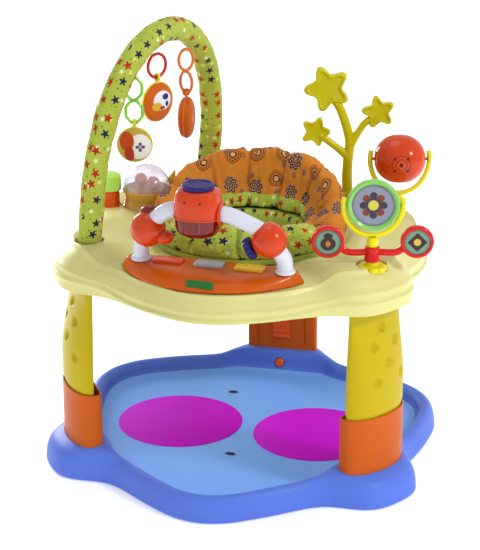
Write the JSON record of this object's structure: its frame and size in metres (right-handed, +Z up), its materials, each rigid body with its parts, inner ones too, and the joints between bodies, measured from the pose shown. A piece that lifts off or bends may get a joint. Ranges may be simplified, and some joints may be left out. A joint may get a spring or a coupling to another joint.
{
  "type": "baby activity center",
  "caption": "Baby activity center: blue base, three yellow legs, cream toy tray, quilted swivel seat and a padded arch of hanging toys.",
  "frame": {"origin": "centre of the base's underside on the floor, below the middle of the seat", "axes": "+Z up, -Y the way the seated child faces, +X to the viewer's right in front of the seat"},
  "size_m": [0.6792, 0.727, 0.7628],
  "materials": {
    "arch_green": "printed",
    "bar_white": "gloss",
    "base_blue": "satin",
    "button_orange": "gloss",
    "clear": "clear",
    "console_orange": "satin",
    "cream": "satin",
    "dark_red": "translucent",
    "face_white": "printed",
    "frame_grey": "matte",
    "key_grey": "gloss",
    "key_red": "gloss",
    "key_yellow": "gloss",
    "leg_orange": "satin",
    "leg_yellow": "satin",
    "lime": "gloss",
    "magenta": "matte",
    "music_amber": "translucent",
    "plush_lime": "plush",
    "plush_orange": "plush",
    "popper_pink": "matte",
    "seat_green": "printed",
    "seat_orange": "quilted print",
    "toy_blue": "gloss",
    "toy_orange": "gloss",
    "toy_red": "gloss",
    "toy_yellow": "gloss"
  },
  "bodies": {
    "base": {"base_pan": "base_blue", "foot_mat_left": "magenta", "foot_mat_right": "magenta", "leg_socket_rear": "leg_orange", "leg_socket_left": "leg_orange", "leg_socket_right": "leg_orange"},
    "tray": {"tray": "cream", "leg_rear": "leg_yellow", "leg_left": "leg_yellow", "leg_right": "leg_yellow", "console_housing": "console_orange", "toy_bar": "bar_white", "bar_ball_left": "toy_orange", "bar_ball_right": "toy_orange", "bar_ear": "dark_red", "spinner_base": "toy_yellow", "ball_stem": "toy_yellow", "tree_socket": "toy_yellow", "music_base": "music_amber", "music_dome": "clear", "music_ball_left": "popper_pink", "music_ball_right": "popper_pink", "plunger_housing": "toy_orange", "arch_sleeve": "arch_green", "arch_frame": "frame_grey"},
    "seat": {"seat_ring": "frame_grey", "seat_back_cushion": "seat_orange", "seat_front_cushion": "seat_green", "seat_sling": "seat_green"},
    "key_red": {"key_red": "key_red"},
    "key_grey": {"key_grey": "key_grey"},
    "key_yellow": {"key_yellow": "key_yellow"},
    "bar_head": {"bar_head": "toy_orange", "bar_hat": "toy_blue"},
    "bar_knob": {"bar_knob": "toy_blue"},
    "spinner_arms": {"spinner_arms": "toy_red", "spinner_insert_left": "face_white", "spinner_insert_right": "face_white"},
    "mirror_yoke": {"mirror_yoke": "toy_yellow"},
    "mirror": {"mirror_ring": "lime", "mirror_plate": "face_white"},
    "ball_yoke": {"ball_yoke": "toy_yellow"},
    "flip_ball": {"flip_ball": "toy_orange"},
    "star_tree": {"star_tree": "toy_yellow"},
    "plunger_cap": {"plunger_cap": "lime"},
    "link_left": {"link_green": "lime"},
    "link_middle": {"link_red": "dark_red"},
    "link_right": {"link_orange": "toy_orange"},
    "plush_left": {"plush_round": "plush_lime"},
    "plush_middle": {"plush_disc": "plush_orange"},
    "plush_right": {"plush_oval": "plush_orange"},
    "lock_button_rear": {"lock_button_rear": "button_orange"},
    "height_latch_rear": {"height_latch_rear": "button_orange"},
    "lock_button_left": {"lock_button_left": "button_orange"},
    "height_latch_left": {"height_latch_left": "button_orange"},
    "lock_button_right": {"lock_button_right": "button_orange"},
    "height_latch_right": {"height_latch_right": "button_orange"}
  },
  "joints": [
    {"name": "height_adjust", "type": "slide", "parent": "base", "child": "tray", "axis": [0, 0, 1], "range_m": [0, 0.05]},
    {"name": "seat_spin", "type": "hinge", "parent": "tray", "child": "seat", "pos_m": [0, 0, 0.4], "axis": [0, 0, 1], "continuous": true},
    {"name": "press_red_key", "type": "slide", "parent": "tray", "child": "key_red", "axis": [0, 0, -1], "range_m": [0, 0.0025], "stiffness_N_per_m": 600},
    {"name": "press_grey_key", "type": "slide", "parent": "tray", "child": "key_grey", "axis": [0, 0, -1], "range_m": [0, 0.0025], "stiffness_N_per_m": 600},
    {"name": "press_yellow_key", "type": "slide", "parent": "tray", "child": "key_yellow", "axis": [0, 0, -1], "range_m": [0, 0.0025], "stiffness_N_per_m": 600},
    {"name": "bar_head_spin", "type": "hinge", "parent": "tray", "child": "bar_head", "pos_m": [-0.02307, -0.24913, 0.507], "axis": [0.9986, -0.0523, 0], "continuous": true},
    {"name": "bar_knob_spin", "type": "hinge", "parent": "tray", "child": "bar_knob", "pos_m": [0.06888, -0.25357, 0.45633], "axis": [-0.8969, -0.0776, -0.4354], "continuous": true},
    {"name": "spinner_arms_spin", "type": "hinge", "parent": "tray", "child": "spinner_arms", "pos_m": [0.249, -0.166, 0.4175], "axis": [0, 0, 1], "continuous": true},
    {"name": "mirror_swivel", "type": "hinge", "parent": "tray", "child": "mirror_yoke", "pos_m": [0.249, -0.166, 0.4605], "axis": [0, 0, 1], "continuous": true},
    {"name": "mirror_flip", "type": "hinge", "parent": "mirror_yoke", "child": "mirror", "pos_m": [0.249, -0.166, 0.513], "axis": [0.9744, 0.225, 0], "continuous": true},
    {"name": "ball_swivel", "type": "hinge", "parent": "tray", "child": "ball_yoke", "pos_m": [0.246, 0.133, 0.444], "axis": [0, 0, 1], "continuous": true},
    {"name": "ball_flip", "type": "hinge", "parent": "ball_yoke", "child": "flip_ball", "pos_m": [0.246, 0.133, 0.507], "axis": [0.9744, 0.225, 0], "continuous": true},
    {"name": "star_tree_sway", "type": "hinge", "parent": "tray", "child": "star_tree", "pos_m": [0.144, 0.188, 0.4168], "axis": [-0.225, 0.9744, 0], "range_deg": [-8, 8], "stiffness_Nm_per_rad": 1.2},
    {"name": "plunger_press", "type": "slide", "parent": "tray", "child": "plunger_cap", "axis": [0, 0, -1], "range_m": [0, 0.008], "stiffness_N_per_m": 250},
    {"name": "link_left_swing", "type": "hinge", "parent": "tray", "child": "link_left", "pos_m": [-0.18346, -0.06694, 0.67158], "axis": [-0.225, 0.9744, 0], "range_deg": [-25, 25]},
    {"name": "plush_left_swing", "type": "hinge", "parent": "link_left", "child": "plush_left", "pos_m": [-0.18346, -0.06694, 0.59898], "axis": [0.9744, 0.225, 0], "range_deg": [-35, 35]},
    {"name": "link_middle_swing", "type": "hinge", "parent": "tray", "child": "link_middle", "pos_m": [-0.16121, 0.00003, 0.69957], "axis": [-0.848, 0.5299, 0], "range_deg": [-25, 25]},
    {"name": "plush_middle_swing", "type": "hinge", "parent": "link_middle", "child": "plush_middle", "pos_m": [-0.16121, 0.00003, 0.66397], "axis": [0.5299, 0.848, 0], "range_deg": [-35, 35]},
    {"name": "link_right_swing", "type": "hinge", "parent": "tray", "child": "link_right", "pos_m": [-0.13539, 0.09554, 0.68811], "axis": [-0.9962, -0.0872, 0], "range_deg": [-25, 25]},
    {"name": "plush_right_swing", "type": "hinge", "parent": "link_right", "child": "plush_right", "pos_m": [-0.13539, 0.09554, 0.61551], "axis": [-0.0872, 0.9962, 0], "range_deg": [-35, 35]},
    {"name": "press_lock_button_rear", "type": "slide", "parent": "base", "child": "lock_button_rear", "axis": [0, 1, 0], "range_m": [0, 0.0035], "stiffness_N_per_m": 400},
    {"name": "press_height_latch_rear", "type": "slide", "parent": "base", "child": "height_latch_rear", "axis": [0, 1, 0], "range_m": [0, 0.003], "stiffness_N_per_m": 500},
    {"name": "press_lock_button_left", "type": "slide", "parent": "base", "child": "lock_button_left", "axis": [-0.8387, -0.5446, 0], "range_m": [0, 0.0035], "stiffness_N_per_m": 400},
    {"name": "press_height_latch_left", "type": "slide", "parent": "base", "child": "height_latch_left", "axis": [-0.8387, -0.5446, 0], "range_m": [0, 0.003], "stiffness_N_per_m": 500},
    {"name": "press_lock_button_right", "type": "slide", "parent": "base", "child": "lock_button_right", "axis": [0.8387, -0.5446, 0], "range_m": [0, 0.0035], "stiffness_N_per_m": 400},
    {"name": "press_height_latch_right", "type": "slide", "parent": "base", "child": "height_latch_right", "axis": [0.8387, -0.5446, 0], "range_m": [0, 0.003], "stiffness_N_per_m": 500}
  ]
}
